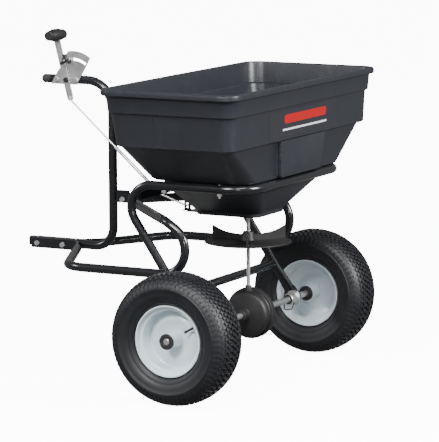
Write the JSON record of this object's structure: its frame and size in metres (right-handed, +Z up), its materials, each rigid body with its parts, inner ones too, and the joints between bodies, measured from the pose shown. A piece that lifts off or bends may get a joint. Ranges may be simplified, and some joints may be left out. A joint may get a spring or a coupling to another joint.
{
  "type": "tow-behind garden spreader",
  "caption": "Tow-behind broadcast spreader: open rectangular hopper on a bent-tube frame with two turf tyres, an axle gearbox spinning an impeller, and a flow lever on the drawbar post.",
  "frame": {"origin": "on the ground below the centre of the bounding box", "axes": "+Z up, -X forward along the drawbar, +Y along the wheel axle toward the driven wheel"},
  "size_m": [0.815, 0.897, 0.8714],
  "materials": {
    "paint": "gloss black powder coat",
    "hopper_plastic": "dark grey moulded plastic, fine texture",
    "black_plastic": "satin black moulded plastic",
    "rubber": "matte black",
    "rim_paint": "pale blue-grey gloss paint",
    "zinc": "bright zinc plate",
    "nylon": "satin black nylon",
    "gear_steel": "machined grey steel"
  },
  "bodies": {
    "chassis": {"drawbar_post": "paint", "near_side_tube": "paint", "far_side_tube": "paint", "hopper_cradle": "paint", "cross_tube": "paint", "front_cross_bar": "paint", "hopper": "hopper_plastic", "lower_hopper": "hopper_plastic", "gearbox_near_case": "black_plastic", "gearbox_far_case": "black_plastic", "gate_guide": "black_plastic", "lever_pivot_bolt": "black_plastic", "handle_cap": "rubber", "drawbar_bolt_front": "zinc", "drawbar_bolt_rear": "zinc", "brace_bolt": "zinc", "near_hopper_bolt_1": "zinc", "near_hopper_bolt_2": "zinc", "far_hopper_bolt_1": "zinc", "far_hopper_bolt_2": "zinc", "near_bearing_housing": "zinc", "far_bearing_housing": "zinc", "quadrant_plate": "zinc", "quadrant_bolt_1": "zinc", "quadrant_bolt_2": "zinc", "near_axle_bush": "nylon", "far_axle_bush": "nylon", "shaft_bush": "nylon"},
    "drive_axle": {"axle": "zinc", "drive_gear": "gear_steel", "near_axle_clip": "black_plastic", "far_axle_clip": "black_plastic", "far_tyre": "rubber", "far_rim": "rim_paint", "far_hub_bush_outer": "nylon", "far_hub_bush_inner": "nylon", "far_valve": "rubber"},
    "near_wheel": {"near_tyre": "rubber", "near_rim": "rim_paint", "near_hub_bush_outer": "nylon", "near_hub_bush_inner": "nylon", "near_valve": "rubber"},
    "spinner": {"impeller_shaft": "zinc", "pinion": "gear_steel", "impeller": "black_plastic", "agitator": "zinc"},
    "lever": {"flow_lever": "zinc", "lever_grip": "black_plastic"},
    "stop": {"stop_screw": "zinc", "stop_knob": "black_plastic"},
    "rod": {"control_rod": "zinc", "rod_sleeve": "zinc"},
    "gate": {"flow_gate": "gear_steel"}
  },
  "joints": [
    {"name": "axle_spin", "type": "hinge", "parent": "chassis", "child": "drive_axle", "pos_m": [0.2335, 0, 0.165], "axis": [0, 1, 0], "continuous": true},
    {"name": "near_wheel_spin", "type": "hinge", "parent": "chassis", "child": "near_wheel", "pos_m": [0.2335, -0.385, 0.165], "axis": [0, 1, 0], "continuous": true},
    {"name": "impeller_spin", "type": "hinge", "parent": "chassis", "child": "spinner", "pos_m": [0.2335, 0, 0.349], "axis": [0, 0, 1], "continuous": true},
    {"name": "lever_swing", "type": "hinge", "parent": "chassis", "child": "lever", "pos_m": [-0.2845, -0.0185, 0.74], "axis": [0, 1, 0], "range_deg": [0, 38]},
    {"name": "stop_slide", "type": "hinge", "parent": "chassis", "child": "stop", "pos_m": [-0.2665, -0.03, 0.728], "axis": [0, 1, 0], "range_deg": [0, 38]},
    {"name": "rod_swing", "type": "hinge", "parent": "lever", "child": "rod", "pos_m": [-0.273, -0.027, 0.695], "axis": [0, 1, 0], "range_deg": [-38, 0]},
    {"name": "gate_slide", "type": "slide", "parent": "chassis", "child": "gate", "axis": [1, 0, 0], "range_m": [-0.0301, 0]}
  ],
  "couplings": [
    {"joint": "impeller_spin", "follows": "axle_spin", "ratio": -4},
    {"joint": "stop_slide", "follows": "lever_swing", "ratio": 1},
    {"joint": "rod_swing", "follows": "lever_swing", "ratio": -1},
    {"joint": "gate_slide", "follows": "lever_swing", "m_per_rad": -0.04535}
  ]
}
